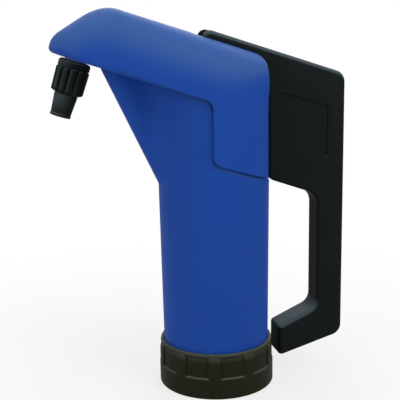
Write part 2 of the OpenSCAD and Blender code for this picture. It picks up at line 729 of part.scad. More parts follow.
// Base plate with the foot valve, the drum adapter and the collar nut that holds it
foot_seat_z = flange_z + socket_h + port_plate;
foot_rim = 1;
foot_valve_r = suction_r + socket_wall - foot_rim;
foot_ports = 6;
port_in = 2;
module base_plate() color("gray") difference() {
    union() {
        on_axis(flange_z) cylinder(r = flange_r, h = barrel_z - flange_z);
        on_axis(barrel_z) cylinder(r = bore_r - seat, h = plug_h);
        on_axis(barrel_z) cylinder(r = suction_r + socket_wall, h = foot_seat_z - barrel_z);
    }
    on_axis(flange_z - over) cylinder(r = suction_r, h = socket_h + over);
    at_ports(suction_r - port_r - port_in, foot_ports) cylinder(r = port_r, h = head_z);
    cylinder(r = stem_r + seat, h = head_z);
    on_axis(barrel_z + plug_h / 2) oring(bore_r, groove_r);
}
module base_oring() color("black") intersection() {
    on_axis(barrel_z + plug_h / 2) oring(bore_r, oring_r);
    cylinder(r = bore_r - seat, h = head_z);
}
module foot_valve() color("black") on_axis(foot_seat_z + seat) ring(foot_valve_r, stem_r + gap, foot_t);
module foot_valve_stem() color("silver") {
    stop_z = foot_seat_z + foot_t + foot_lift + gap;
    on_axis(foot_seat_z - port_plate) cylinder(r = stem_r, h = stop_z - foot_seat_z + port_plate + over);
    on_axis(stop_z) cylinder(r = stem_r + stop_rim, h = stop_t);
}
module adapter_gasket() color("black") on_axis(flange_z - gasket_t)
    ring(flange_r - gasket_rim, drum_thread_r, gasket_t);
module bung_adapter() color("dimgray") ring(flange_r, drum_thread_r, flange_z - gasket_t);
rim_h = 6;
rim_in = 1.6;
panel_depth = 1;
panel_low = 13;
panel_share = 0.72;
panel_top = 2.5;
lip_t = collar_h - barrel_z - gap;
module collar_nut() color("darkslategray") difference() {
    union() {
        cylinder(r = collar_r, h = collar_h - rim_h);
        on_axis(collar_h - rim_h) cylinder(r1 = collar_r, r2 = collar_r - rim_in, h = rim_h);
    }
    on_axis(-over) cylinder(r = collar_in_r, h = collar_h - lip_t + over);
    on_axis(0) cylinder(r = barrel_low_r + gap, h = 2 * collar_h);
    for (k = [0 : panel_count - 1]) rotate(360 * (k + 0.5) / panel_count) on_axis(panel_low)
        rotate([0, 0, -180 * panel_share / panel_count]) rotate_extrude(angle = 360 * panel_share / panel_count)
            translate([collar_r - panel_depth, 0]) square([2 * panel_depth, collar_h - panel_low - panel_top]);
}

pump_body();
head_cover();
spout_underplate();
underplate_screws();
spout_duct();
duct_gasket();
nozzle_washer();
nozzle_tail();
nozzle_nut();
lever();
pivot_bushes();
pivot_carrier();
pivot_pin();
pin_clips();
rod_pin();
rod_head();
piston_rod();
gland_plate();
gland_oring();
rod_seal();
gland_nut();
piston();
piston_seal();
piston_valve();
valve_keeper();
rod_nut();
base_plate();
base_oring();
foot_valve();
foot_valve_stem();
adapter_gasket();
bung_adapter();
collar_nut();
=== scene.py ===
"""Hand lever drum pump: its moulded pieces, their finishes and a studio stage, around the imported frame."""
import json
import math

import bmesh
import bpy
import numpy as np
from mathutils import Matrix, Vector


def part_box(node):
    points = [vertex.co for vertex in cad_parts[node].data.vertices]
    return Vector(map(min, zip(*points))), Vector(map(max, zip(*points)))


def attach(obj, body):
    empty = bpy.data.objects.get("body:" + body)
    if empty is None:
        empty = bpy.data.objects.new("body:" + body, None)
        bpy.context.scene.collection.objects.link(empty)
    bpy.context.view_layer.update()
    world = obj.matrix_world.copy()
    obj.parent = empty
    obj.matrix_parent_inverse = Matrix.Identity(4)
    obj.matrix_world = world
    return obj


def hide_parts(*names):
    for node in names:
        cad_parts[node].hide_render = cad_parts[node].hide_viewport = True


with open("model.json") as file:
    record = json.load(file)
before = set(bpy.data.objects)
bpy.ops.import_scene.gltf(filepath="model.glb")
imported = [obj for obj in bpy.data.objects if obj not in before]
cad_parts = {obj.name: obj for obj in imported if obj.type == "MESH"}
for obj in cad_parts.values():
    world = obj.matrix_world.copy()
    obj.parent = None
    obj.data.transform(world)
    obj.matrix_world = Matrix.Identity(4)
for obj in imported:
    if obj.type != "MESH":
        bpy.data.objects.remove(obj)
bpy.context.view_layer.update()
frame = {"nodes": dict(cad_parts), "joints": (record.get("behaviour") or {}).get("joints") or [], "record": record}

bl_info = {
    "name": "Drum pump",
    "version": (1, 0, 0),
    "blender": (4, 5, 0),
    "location": "3D View > Sidebar > Drum pump",
    "description": "Builds the moulded pieces, the finishes and the stage of a hand lever drum pump",
    "category": "Object",
}

MM = 0.001
COLLAR_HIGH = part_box("collar_nut")[1]
LEVER_LOW, LEVER_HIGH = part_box("lever")
BARREL_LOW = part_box("pump_body")[0]
PIVOT = next(j["pos_m"] for j in frame["joints"] if j["name"] == "lever_swing")

# Material slots of the record, and the finishes that they get
BLUE_PP, BLACK_PP, GREY_PP = "blue_pp", "black_pp", "grey_pp"
STEEL, RUBBER, IVORY = "stainless", "black_rubber", "ivory_nylon"
BLUE_FINISH, BLACK_FINISH = "blue polypropylene", "black glass nylon"
OLIVE_FINISH, GREY_FINISH, IVORY_FINISH = "olive black polypropylene", "grey polypropylene", "ivory nylon"
STEEL_FINISH, RUBBER_FINISH = "turned stainless steel", "moulded nitrile rubber"
SLOT_FINISH = {BLUE_PP: BLUE_FINISH, BLACK_PP: OLIVE_FINISH, GREY_PP: GREY_FINISH, STEEL: STEEL_FINISH,
               RUBBER: RUBBER_FINISH, IVORY: IVORY_FINISH}

# Face corner attribute of a piece: how far its surface faces up, from 0 to 1, which masks the painted sheen and
# highlight on upward faces
UPPER = "upper"

# Points of a section of the hood, up its side and on from there to the middle
SIDE_ROWS, TOP_ROWS = 72, 14

# Radius that rolls the nose's lower edge under
NOSE_ROLL = 4 * MM


def linear(code):
    """Linear red, green, blue and alpha of an sRGB hex colour: the sRGB curve undone, channel by channel."""
    srgb = np.array([int(code[i:i + 2], 16) for i in (1, 3, 5)]) / 255
    low = srgb / 12.92
    high = ((srgb + 0.055) / 1.055) ** 2.4
    return (*np.where(srgb <= 0.04045, low, high).tolist(), 1.0)


def length(name, description, default):
    """A length property in metres."""
    return bpy.props.FloatProperty(name=name, description=description, default=default, min=0,
                                   unit="LENGTH", precision=5)


def angle(name, description, degrees):
    """An angle property, given in degrees."""
    return bpy.props.FloatProperty(name=name, description=description, default=math.radians(degrees),
                                   subtype="ANGLE")


def count(name, description, default):
    """A number of like features."""
    return bpy.props.IntProperty(name=name, description=description, default=default, min=3)


def colour(name, description, code):
    """A colour property, given as an sRGB hex value."""
    return bpy.props.FloatVectorProperty(name=name, description=description, default=linear(code), size=4,
                                         min=0, max=1, subtype="COLOR")


class PumpSizes(bpy.types.PropertyGroup):
    """Sizes of the moulded pieces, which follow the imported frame."""
    barrel_low_r: length("Barrel radius below", "Radius of the barrel where it leaves the collar", 44 * MM)
    barrel_high_r: length("Barrel radius above", "Radius of the barrel under the hood", 46 * MM)
    barrel_wall: length("Barrel wall", "Wall of the barrel at the collar", 4 * MM)
    fin_half: length("Fin half thickness", "Half thickness of the fin under the spout", 11 * MM)
    fin_root: length("Fin root", "Height at which the fin leaves the barrel", 172.5 * MM)
    fin_lean: angle("Fin lean", "Lean of the fin's front edge from upright", 24.8)
    head_z: length("Head height", "Height of the hood's lower edge on the barrel's axis", 238 * MM)
    head_tilt: angle("Head tilt", "Tilt of the hood, spout end up", 18.4)
    hood_reach: length("Hood reach", "Length of the hood in front of the axis", 136.3 * MM)
    hood_height: length("Hood height", "Height of the roof over the lower edge", 46 * MM)
    hood_r: length("Hood radius", "Radius of the hood round the barrel", 47.4 * MM)
    hood_wall: length("Hood wall", "Wall of the hood", 3 * MM)
    hood_back: length("Hood back", "Distance of the hood's flat back behind the axis", 37.5 * MM)
    nose_half: length("Nose half width", "Half width towards which the hood tapers", 30 * MM)
    nose_height: length("Nose height", "Height of the nose's blunt front", 11.5 * MM)
    skirt_drop: length("Skirt drop", "Drop of the rear skirt under the hood's lower edge", 45.5 * MM)
    skirt_round: length("Skirt corner", "Radius of the skirt's corners", 8 * MM)
    knee_r: length("Knee radius", "Radius between the roof and the flat back", 10 * MM)
    lever_t: length("Lever thickness", "Thickness of the lever", 24 * MM)
    lever_round: length("Lever edge", "Radius of the lever's rounded edges", 3.5 * MM)
    collar_r: length("Collar radius", "Outer radius of the collar", COLLAR_HIGH.x)
    collar_h: length("Collar height", "Height of the collar", COLLAR_HIGH.z)
    panel_count: count("Grip panels", "Panels round the collar", 10)
    nut_r: length("Nut radius", "Radius of the union nut over its ribs", 13.2 * MM)
    nut_h: length("Nut height", "Height of the union nut", 26 * MM)
    rib_count: count("Nut ribs", "Ribs round the union nut", 12)
    tail_r: length("Tail radius", "Radius of the hose tail", 8.2 * MM)
    tail_l: length("Tail length", "Length of the hose tail under the nut", 18 * MM)


class PumpColours(bpy.types.PropertyGroup):
    """Colours of the finishes."""
    blue: colour("Blue", "Moulded polypropylene of the barrel and the hood", "#164499")
    blue_deep: colour("Deep blue", "Darker streaks in the blue", "#133D8E")
    # Painted sheen: a paler, greyer colour painted onto the hood's upward faces
    blue_painted_sheen: colour("Highlight blue", "Paler, greyer roof of the hood", "#2F5186")
    black: colour("Black", "Moulded nylon of the lever and the nozzle", "#111615")
    black_worn: colour("Worn black", "Lighter grain of the lever", "#181D1C")
    # Painted highlight: a paler colour painted onto the lever's upward faces and upper edges
    black_painted_sheen: colour("Highlight black", "Paler upper edges of the lever", "#4A565A")
    olive: colour("Olive black", "Moulded polypropylene of the collar", "#14180C")
    olive_worn: colour("Worn olive black", "Lighter grain of the collar", "#1E2214")
    # Painted highlight: a paler colour painted onto the collar's upward faces and panel ledges
    olive_painted_sheen: colour("Highlight olive black", "Paler ledges of the collar", "#4C4F44")


# Curves and grids

def smooth_min(a, b, k):
    """Smooth minimum of two arrays: min(a, b) less h*h*k/4, where h falls from 1 to 0 as they part by k."""
    h = np.maximum(k - np.abs(a - b), 0) / k
    return np.minimum(a, b) - h * h * k / 4


def smooth_max(a, b, k):
    """Smooth maximum, the mirror image of smooth_min."""
    return -smooth_min(-a, -b, k)


def ease(t):
    """Smooth step: 3t^2 - 2t^3 for t held between 0 and 1."""
    t = np.clip(t, 0, 1)
    return t * t * (3 - 2 * t)


def quarter_fall(r, d):
    """Fall of a quarter circle, d past its centre: r - sqrt(r^2 - d^2) for d held between 0 and r."""
    d = np.clip(d, 0, r)
    return r - np.sqrt(r * r - d * d)


def unit(v):
    """The vector v at length one."""
    return v / np.linalg.norm(v)


def facing(place, aim, roll=0):
    """Matrix of a camera or a lamp at place that looks at aim, turned by roll about its view: its side is
    square to the view and to an upright, which tips a little so that a lamp overhead has a side too."""
    place = np.array(place)
    back = unit(place - aim)
    level = unit(np.cross([0, 0.01, 1], back))
    stand = np.cross(back, level)
    side = level * math.cos(roll) + stand * math.sin(roll)
    matrix = np.eye(4)
    matrix[:3] = np.stack([side, np.cross(back, side), back, place], axis=1)
    return Matrix(matrix.tolist())


def corner_arc(a, p, b, r, n=10):
    """Points of the arc of radius r that rounds the corner p between a and b: its centre lies on the
    bisector, r / sin(half angle) from p."""
    a, p, b = np.asarray(a, float), np.asarray(p, float), np.asarray(b, float)
    d1, d2 = unit(a - p), unit(b - p)
    half = math.acos(np.dot(d1, d2)) / 2
    centre = p + unit(d1 + d2) * r / math.sin(half)
    start = p + d1 * r / math.tan(half) - centre
    way = -1 if d1[0] * d2[1] - d1[1] * d2[0] > 0 else 1
    t = way * (math.pi - 2 * half) * np.linspace(0, 1, n)
    turned = [start[0] * np.cos(t) - start[1] * np.sin(t), start[0] * np.sin(t) + start[1] * np.cos(t)]
    return centre + np.stack(turned, axis=1)


def rounded(corners, n=10):
    """Closed outline whose corners [x, z, radius] are arcs."""
    c = np.asarray(corners)
    return np.concatenate([corner_arc(c[i - 1, :2], c[i, :2], c[(i + 1) % len(c), :2], c[i, 2], n)
                           for i in range(len(c))])


def drawn_in(corners, d):
    """Corners [x, z, radius] of the clockwise outline, moved in so that the edge after corner i shifts by
    d[i]: each moved corner q solves (q - p) . n = d for the inward normals n of its two edges. The radii
    change by the mean shift, which keeps the arcs parallel, and stay above a least radius."""
    least = 0.5 * MM
    p = corners[:, :2]
    edge = np.roll(p, -1, axis=0) - p
    edge = edge / np.linalg.norm(edge, axis=1, keepdims=True)
    n = np.stack([edge[:, 1], -edge[:, 0]], axis=1)
    n0, d0 = np.roll(n, 1, axis=0), np.roll(d, 1)
    cross = n0[:, 0] * n[:, 1] - n0[:, 1] * n[:, 0]
    shift = np.stack([d0 * n[:, 1] - d * n0[:, 1], d * n0[:, 0] - d0 * n[:, 0]], axis=1) / cross[:, None]
    radius = np.maximum(corners[:, 2] + np.sign(cross) * (d + d0) / 2, least)
    return np.column_stack([p + shift, radius])


def along(path, shares):
    """Points of a polyline at the given shares of its length."""
    steps = np.linalg.norm(np.diff(path, axis=0), axis=1)
    run = np.concatenate([[0], np.cumsum(steps)])
    return np.stack([np.interp(shares * run[-1], run, path[:, k]) for k in range(path.shape[1])], axis=1)


def grid_faces(rows, cols, wrap_rows=False, wrap_cols=False):
    """Quads of a grid of rows by cols points."""
    i = np.arange(rows if wrap_rows else rows - 1)
    j = np.arange(cols if wrap_cols else cols - 1)
    i, j = (a.ravel() for a in np.meshgrid(i, j, indexing="ij"))
    below, right = (i + 1) % rows, (j + 1) % cols
    quads = [i * cols + j, i * cols + right, below * cols + right, below * cols + j]
    return np.stack(quads, axis=1).tolist()


def closed_grid(surface):
    """A surface that closes on itself both ways, with its quads."""
    return surface, grid_faces(*surface.shape[:2], wrap_rows=True, wrap_cols=True)


def ring_surface(r, z, turn):
    """Points of a surface round the Z axis: x = r cos(turn), y = r sin(turn), by rows of profile and columns
    of turn."""
    r, z, turn = np.broadcast_arrays(r, z, turn)
    return np.stack([r * np.cos(turn), r * np.sin(turn), z], axis=-1)


def add_piece(name, parts, finish, body, nodes, wall=0, edge=0, flats=False):
    """One object from pairs of points and faces, merged where they meet. wall gives an open skin its
    thickness inwards, edge rounds its sharp edges, and flats keeps the shading of large flat faces even."""
    points, faces = [], []
    start = 0
    for surface, quads in parts:
        flat = surface.reshape(-1, 3)
        points.append(flat)
        faces += [[start + k for k in quad] for quad in quads]
        start += len(flat)
    mesh = bpy.data.meshes.new(name)
    mesh.from_pydata(np.concatenate(points).tolist(), [], faces)
    work = bmesh.new()
    work.from_mesh(mesh)
    bmesh.ops.remove_doubles(work, verts=work.verts, dist=2e-6)
    bmesh.ops.dissolve_degenerate(work, dist=1e-7, edges=work.edges)
    bmesh.ops.recalc_face_normals(work, faces=work.faces)
    work.to_mesh(mesh)
    work.free()
    sharp = math.radians(40)
    mesh.shade_smooth()
    mesh.set_sharp_from_angle(angle=sharp)
    mark_upper(mesh)
    mesh.materials.append(finish)
    piece = bpy.data.objects.new(name, mesh)
    bpy.context.scene.collection.objects.link(piece)
    if wall:
        skin = piece.modifiers.new("wall", "SOLIDIFY")
        skin.thickness = wall
        skin.offset = -1
        skin.use_rim = True
    if edge:
        bevel = piece.modifiers.new("edges", "BEVEL")
        bevel.width = edge
        bevel.segments = 3
        bevel.limit_method = "ANGLE"
        bevel.angle_limit = sharp
        bevel.harden_normals = True
    if flats:
        piece.modifiers.new("flats", "WEIGHTED_NORMAL").keep_sharp = True
    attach(piece, body)
    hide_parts(*nodes)


def mark_upper(mesh):
    """Stores how far each face corner faces up, the mask of the painted sheen on upward faces: the eased z of its
    normal, full where z reaches 0.55.
    """
    full = 0.55
    normals = np.empty(3 * len(mesh.loops), np.float32)
    mesh.corner_normals.foreach_get("vector", normals)
    upper = mesh.attributes.new(UPPER, "FLOAT", "CORNER")
    upper.data.foreach_set("value", ease(normals[2::3] / full).astype(np.float32))


# Finishes

def add(tree, kind, inputs=None, **settings):
    """Adds a node with its settings; inputs are values, or sockets to link from."""
    node = tree.nodes.new(kind)
    for key, value in settings.items():
        setattr(node, key, value)
    for key, value in (inputs or {}).items():
        if isinstance(value, bpy.types.NodeSocket):
            tree.links.new(value, node.inputs[key])
        else:
            node.inputs[key].default_value = value
    return node


def new_finish(name):
    """The tree of a new material, its shader and the Object coordinates."""
    finish = bpy.data.materials.new(name)
    finish.use_nodes = True
    tree = finish.node_tree
    place = add(tree, "ShaderNodeTexCoord").outputs["Object"]
    return tree, tree.nodes["Principled BSDF"], place


def moulded_plastic(name, base, worn, grain, roughness, depth, level=0.2, painted_sheen=None):
    """Injection moulded plastic: an even colour with faint flow streaks, and the fine spark grain of the
    tool, which breaks the gloss into a satin sheen. grain is its width in metres, drawn coarser than the
    real one so that it shows, depth is its bump, and level is how strongly the surface mirrors. The last
    argument is a paler colour painted onto upward faces and ledges, a painted sheen and highlight in patches."""
    tree, shader, place = new_finish(name)
    streak_size, grain_height = 38 * MM, 0.15 * MM
    streaks = add(tree, "ShaderNodeTexNoise", {"Vector": place, "Scale": 1 / streak_size, "Detail": 3.0})
    mix = add(tree, "ShaderNodeMix", {"Factor": streaks.outputs["Fac"], "A": base, "B": worn},
              data_type="RGBA")
    spark = add(tree, "ShaderNodeTexNoise", {"Vector": place, "Scale": 1 / grain, "Detail": 4.0})
    spark = spark.outputs["Fac"]
    gloss = add(tree, "ShaderNodeMapRange", {"Value": spark, "From Min": 0.3, "From Max": 0.7,
                                             "To Min": roughness - 0.05, "To Max": roughness + 0.06})
    bump = add(tree, "ShaderNodeBump", {"Height": spark, "Strength": depth, "Distance": grain_height})
    if painted_sheen:
        # Painted sheen: upward faces get the paler colour through the mask of how far they face up, in patches
        # that follow the grain
        upper = add(tree, "ShaderNodeAttribute", attribute_name=UPPER)
        uneven = add(tree, "ShaderNodeMapRange", {"Value": spark, "To Min": 0.5, "To Max": 1.0})
        sheen_share = add(tree, "ShaderNodeMath", {0: upper.outputs["Fac"], 1: uneven.outputs["Result"]},
                   operation="MULTIPLY")
        mix = add(tree, "ShaderNodeMix", {"Factor": sheen_share.outputs[0], "A": mix.outputs[2], "B": painted_sheen},
                  data_type="RGBA")
    tree.links.new(mix.outputs[2], shader.inputs["Base Color"])
    tree.links.new(gloss.outputs["Result"], shader.inputs["Roughness"])
    tree.links.new(bump.outputs["Normal"], shader.inputs["Normal"])
    shader.inputs["IOR"].default_value = 1.49
    shader.inputs["Specular IOR Level"].default_value = level


def turned_steel(name):
    """Turned stainless steel: fine rings left by the tool stretch the highlight round the piece."""
    tree, shader, place = new_finish(name)
    ring_pitch, ring_height, along_ring = 0.5 * MM, 0.05 * MM, 60.0
    stretch = (along_ring, along_ring, 1 / ring_pitch)
    spread = add(tree, "ShaderNodeMapping", {"Vector": place, "Scale": stretch})
    rings = add(tree, "ShaderNodeTexNoise", {"Vector": spread.outputs["Vector"], "Scale": 1.0, "Detail": 2.0})
    rings = rings.outputs["Fac"]
    gloss = add(tree, "ShaderNodeMapRange", {"Value": rings, "To Min": 0.22, "To Max": 0.42})
    bump = add(tree, "ShaderNodeBump", {"Height": rings, "Strength": 0.12, "Distance": ring_height})
    tree.links.new(gloss.outputs["Result"], shader.inputs["Roughness"])
    tree.links.new(bump.outputs["Normal"], shader.inputs["Normal"])
    shader.inputs["Base Color"].default_value = linear("#C2C1BD")
    shader.inputs["Metallic"].default_value = 1.0


def moulded_rubber(name):
    """Moulded nitrile rubber: near black, dull, with a faint bloom."""
    tree, shader, place = new_finish(name)
    bloom_size, bloom_height = 6 * MM, 0.1 * MM
    bloom = add(tree, "ShaderNodeTexNoise", {"Vector": place, "Scale": 1 / bloom_size, "Detail": 5.0})
    bloom = bloom.outputs["Fac"]
    mix = add(tree, "ShaderNodeMix", {"Factor": bloom, "A": linear("#151515"), "B": linear("#242322")},
              data_type="RGBA")
    bump = add(tree, "ShaderNodeBump", {"Height": bloom, "Strength": 0.1, "Distance": bloom_height})
    tree.links.new(mix.outputs[2], shader.inputs["Base Color"])
    tree.links.new(bump.outputs["Normal"], shader.inputs["Normal"])
    shader.inputs["Roughness"].default_value = 0.72


def finishes():
    """All finishes by name, made at the first call."""
    made = bpy.data.materials
    if BLUE_FINISH in made:
        return made
    c = bpy.context.scene.pump_colours
    # The blue, black and olive finishes get a painted sheen on their upward faces
    moulded_plastic(BLUE_FINISH, c.blue, c.blue_deep, grain=0.8 * MM, roughness=0.63, depth=0.10,
                    level=0.12, painted_sheen=c.blue_painted_sheen)
    moulded_plastic(BLACK_FINISH, c.black, c.black_worn, grain=1.0 * MM, roughness=0.62, depth=0.30,
                    level=0.03, painted_sheen=c.black_painted_sheen)
    moulded_plastic(OLIVE_FINISH, c.olive, c.olive_worn, grain=0.9 * MM, roughness=0.60, depth=0.15,
                    level=0.07, painted_sheen=c.olive_painted_sheen)
    moulded_plastic(GREY_FINISH, linear("#9A9C9D"), linear("#8B8E90"), grain=0.8 * MM, roughness=0.45,
                    depth=0.1)
    moulded_plastic(IVORY_FINISH, linear("#D9D3C2"), linear("#CFC8B4"), grain=0.8 * MM, roughness=0.4,
                    depth=0.1)
    turned_steel(STEEL_FINISH)
    moulded_rubber(RUBBER_FINISH)
    return made


# Shapes of the barrel and the hood

def tilt(s):
    """Cosine and sine of the head's tilt."""
    return math.cos(s.head_tilt), math.sin(s.head_tilt)


def to_head(s, x, z):
    """Distance in front of the axis and height over the hood's lower edge, along the tilted head."""
    ct, st = tilt(s)
    return -x * ct + (z - s.head_z) * st, x * st + (z - s.head_z) * ct


def from_head(s, u, v):
    """The x and z of a point u in front of the axis and v over the lower edge, along the tilted head."""
    ct, st = tilt(s)
    return -u * ct + v * st, s.head_z + u * st + v * ct


def skirt_front(s):
    """The x of the skirt's front edge."""
    return -s.hood_r / 4


def hood_edge(s, x):
    """Height of the hood's lower edge by x: along the tilt in front, a rounded step down at the skirt's front
    edge, and along the tilt again at the skirt's foot."""
    ct, st = tilt(s)
    slope = st / ct
    x0, r = skirt_front(s), s.skirt_round
    upper = s.head_z - x * slope
    lower = s.head_z - s.skirt_drop / ct - x * slope
    top_c = s.head_z - (x0 - r) * slope - r / ct
    low_c = s.head_z - s.skirt_drop / ct - (x0 + r) * slope + r / ct
    top_arc = top_c + np.sqrt(np.maximum(r * r - (x - x0 + r) ** 2, 0))
    low_arc = low_c - np.sqrt(np.maximum(r * r - (x - x0 - r) ** 2, 0))
    reach = r * (1 - st)
    return np.select([x < x0 - reach, x < x0, x < x0 + reach], [upper, top_arc, low_arc], lower)


def fin_distance(s, x, y, z):
    """Distance outside the fin at x in front of the axis and y across: to its flat sides at half thickness,
    or, past the centre of its round nose, to the nose's ellipse, measured across."""
    a = s.fin_half / math.cos(s.fin_lean)
    centre = s.barrel_high_r + (z - s.fin_root) * math.tan(s.fin_lean) - a
    return (np.hypot(np.maximum(x - centre, 0) / a, y / s.fin_half) - 1) * s.fin_half


def barrel_radius(s, turn, z):
    """Outer radius of the barrel in the direction turn from the spout side: where the smooth minimum of the
    distances outside a slow cone and outside the fin is zero, found by halving. The blend widens upwards from
    the fin's root."""
    growth = (s.barrel_high_r - s.barrel_low_r) / (s.head_z - s.collar_h)
    cone = s.barrel_low_r + (z - s.collar_h) * growth + 0 * turn
    least, most = 0.3 * MM, 14 * MM
    blend = np.clip((z - s.fin_root) / 2, least, most)
    low, high = 0.9 * cone, cone + s.hood_reach
    halvings = 34
    for _ in range(halvings):
        r = (low + high) / 2
        fin = fin_distance(s, r * np.cos(turn), r * np.sin(turn), z)
        fin = np.where(np.cos(turn) > 0, fin, s.hood_reach)
        outside = smooth_min(r - cone, fin, blend) > 0
        low, high = np.where(outside, low, r), np.where(outside, r, high)
    return high


def barrel_turns(s):
    """Directions round the barrel from the spout side: close over the fin and on both sides of the skirt's
    front edge, where the barrel's top steps down."""
    fin, shoulder, flank, gap = 20, 40, 58, 0.02
    step = math.degrees(math.acos(-skirt_front(s) / s.barrel_high_r))
    half = np.concatenate([
        np.arange(0, fin, 0.5), np.arange(fin, shoulder), np.arange(shoulder, flank, 2),
        np.linspace(flank, step - gap, 26), np.linspace(step + gap, step + 14, 24),
        np.linspace(step + 16, 180, 30)])
    return np.radians(np.concatenate([-half[:0:-1], half[:-1]]))


def barrel_surface(s):
    """The barrel as a closed grid of turn and profile: bottom, outside up to a shallow groove under the
    hood's lower edge, in to the spigot, up to its rim and down the bore."""
    turn = barrel_turns(s)
    # In front, the barrel goes on a little behind the hood's rolled edge
    tuck_h, tuck_from, tuck_over = 1.5 * MM, 0.65, 0.2
    tuck = tuck_h * ease((np.cos(turn) - tuck_from) / tuck_over)
    # The top's height and the radius there depend on each other, and settle in a few passes
    passes = 8
    top = hood_edge(s, -s.barrel_high_r * np.cos(turn))
    for _ in range(passes):
        top = hood_edge(s, -barrel_radius(s, turn, top) * np.cos(turn))
    top = top + tuck
    low, bend = BARREL_LOW.z, s.fin_root - 3 * MM
    low_rows, high_rows = 16, 64
    z = np.concatenate([low + (bend - low) * np.linspace(0, 1, low_rows)[:, None] + 0 * turn,
                        bend + (top - bend) * np.linspace(0, 1, high_rows)[1:, None]])
    groove, groove_h = 1.1 * MM, 4 * MM
    r = barrel_radius(s, turn, z) - groove * ease(1 - (top - z) / groove_h)
    gap, spigot_h = 0.4 * MM, 5 * MM
    bore = s.barrel_low_r - s.barrel_wall
    spigot = s.hood_r - s.hood_wall - gap
    ct, st = tilt(s)

    def rim(radius):
        x = -radius * np.cos(turn)
        rise = np.where(x > s.hood_back - s.hood_wall - gap, -gap, spigot_h)
        return s.head_z + (rise - x * st) / ct

    shelf = hood_edge(s, -spigot * np.cos(turn)) + tuck
    ring = 0 * turn
    rows_r = np.concatenate([[bore + ring], r, [spigot + ring, spigot + ring, bore + ring]])
    rows_z = np.concatenate([[low + ring], z, [shelf, rim(spigot), rim(bore)]])
    return closed_grid(ring_surface(rows_r, rows_z, math.pi - turn))


def edge_height(s, u):
    """Height of the hood's lower edge along the head: level, and rounded up under the tip."""
    return quarter_fall(NOSE_ROLL, u - s.hood_reach + NOSE_ROLL)


def nose_inset(v):
    """How far the nose's outline in plan draws back towards the lower edge, along a quarter circle."""
    return quarter_fall(NOSE_ROLL, NOSE_ROLL - v)


def roof_height(s, u):
    """Height of the roof over the lower edge: the smooth minimum of a level and the nose's slope, rounded
    over at the tip."""
    steepness, blend, tip = 1.15, 14 * MM, 4.5 * MM
    slope = s.nose_height + (s.hood_reach - u) * steepness
    return smooth_min(s.hood_height + 0 * u, slope, blend) - quarter_fall(tip, u - s.hood_reach + tip)


def hood_half_width(s, x, z):
    """Half width of the hood at a point of its side view: round behind the axis, tapered to the nose and
    round in plan there, times an arch (1 - (v / roof)^p)^(1 / p) over the lower edge, which rolls under in
    front of the barrel along a quarter of a circle."""
    ct, st = tilt(s)
    u, v = to_head(s, x, z)
    lean_h, round_blend = 40 * MM, 16 * MM
    plan_x = x - st * np.maximum(v, 0) * ease(v / lean_h)
    round_x = smooth_max(plan_x, 0 * plan_x, round_blend)
    behind = np.sqrt(np.maximum(s.hood_r ** 2 - round_x ** 2, 0))
    start, start_blend = 12 * MM, 10 * MM
    taper = (s.hood_r - s.nose_half) / (s.hood_reach - start)
    ahead = taper * smooth_max(-plan_x / ct - start, 0 * plan_x, start_blend)
    plan_r = 26 * MM
    past = np.maximum(u + nose_inset(v) - s.hood_reach + plan_r, 0) / plan_r
    nose = np.sqrt(np.maximum(1 - past ** 2, 0))
    p = 2.6
    arch = (1 - np.clip(v / roof_height(s, u), 0, 1) ** p) ** (1 / p)
    outer = (behind - ahead) * nose * arch
    roll_r, roll_from, roll_over, most = 3 * MM, 30 * MM, 40 * MM, 0.35
    roll = np.minimum(roll_r * ease((u - roll_from) / roll_over), most * outer)
    return outer - quarter_fall(roll, roll - v + edge_height(s, u))


def hood_section(s, low, high):
    """Points of one section from its lower to its upper point in the side view, at the hood's half width, and
    across to the middle. SIDE_ROWS end where the half width falls to the slot's, and TOP_ROWS go on."""
    steps, closing, thinnest = 400, 20, 0.01 * MM
    t = np.linspace(0, 1, steps)[:, None]
    flat = low + t * (high - low)
    width = hood_half_width(s, flat[:, 0], flat[:, 1])
    side = np.stack([flat[:, 0], width, flat[:, 1]], axis=1)
    if width.max() < thinnest:
        return along(side, np.linspace(0, 1, SIDE_ROWS + TOP_ROWS))
    close = np.repeat(side[-1:], closing, axis=0)
    close[:, 1] *= np.linspace(1, 0, closing)
    path = np.concatenate([side, close[1:]])
    slot_gap, narrow = 0.6 * MM, 0.45
    shoulder = min(s.lever_t / 2 + slot_gap, narrow * width.max())
    run = np.concatenate([[0], np.cumsum(np.linalg.norm(np.diff(path, axis=0), axis=1))])
    last = np.nonzero(path[:, 1] > shoulder)[0][-1]
    share = (path[last, 1] - shoulder) / (path[last, 1] - path[last + 1, 1])
    cut = (run[last] + share * (run[last + 1] - run[last])) / run[-1]
    shares = np.concatenate([np.linspace(0, cut, SIDE_ROWS), np.linspace(cut, 1, TOP_ROWS + 1)[1:]])
    return along(path, shares)


def hood_sections(s, low, high):
    """The sections between pairs of lower and upper points."""
    return np.stack([hood_section(s, a, b) for a, b in zip(low, high)])


def slot_front(s):
    """Distance in front of the axis at which the lever's slot starts in the roof."""
    clear = 9 * MM
    ct, st = tilt(s)
    return (s.hood_height * st - LEVER_LOW.x + clear) / ct


def hood_arches(s):
    """Whole arches of the hood's closed front, from the nose to the lever's slot, closer towards the nose."""
    sections, crowding = 90, 1.8
    u = s.hood_reach - (s.hood_reach - slot_front(s)) * np.linspace(0, 1, sections) ** crowding
    low = np.stack(from_head(s, u, edge_height(s, u)), axis=1)
    high = np.stack(from_head(s, u, roof_height(s, u)), axis=1)
    return hood_sections(s, low, high)


